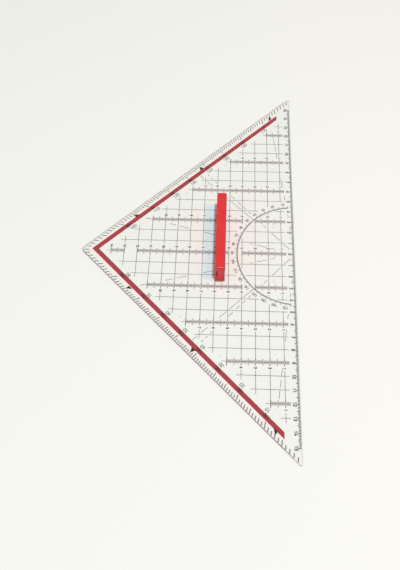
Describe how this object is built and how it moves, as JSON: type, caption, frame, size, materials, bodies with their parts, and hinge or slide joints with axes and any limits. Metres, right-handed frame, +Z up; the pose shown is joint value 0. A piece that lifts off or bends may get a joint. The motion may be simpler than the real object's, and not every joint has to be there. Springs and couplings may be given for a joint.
{
  "type": "geometry set square",
  "caption": "Clear drawing set square with a right angle between equal legs, printed scales and protractor, low nubs underneath and a red clip-in bar handle.",
  "frame": {"origin": "under the middle of the plate's outline box, on the surface that the nubs rest on", "axes": "+X along the long edge, +Y from the long edge to the right angle, +Z up through the plate to the handle"},
  "size_m": [0.3228, 0.162, 0.0212],
  "materials": {
    "clear_acrylic": "clear and polished",
    "red_plastic": "satin, as moulded"
  },
  "bodies": {
    "plate": {"plate": "clear_acrylic"},
    "handle": {"handle": "red_plastic"}
  },
  "joints": [
    {"name": "handle_lift", "type": "slide", "parent": "plate", "child": "handle", "axis": [0, 0, 1], "range_m": [0, 0.02]}
  ]
}
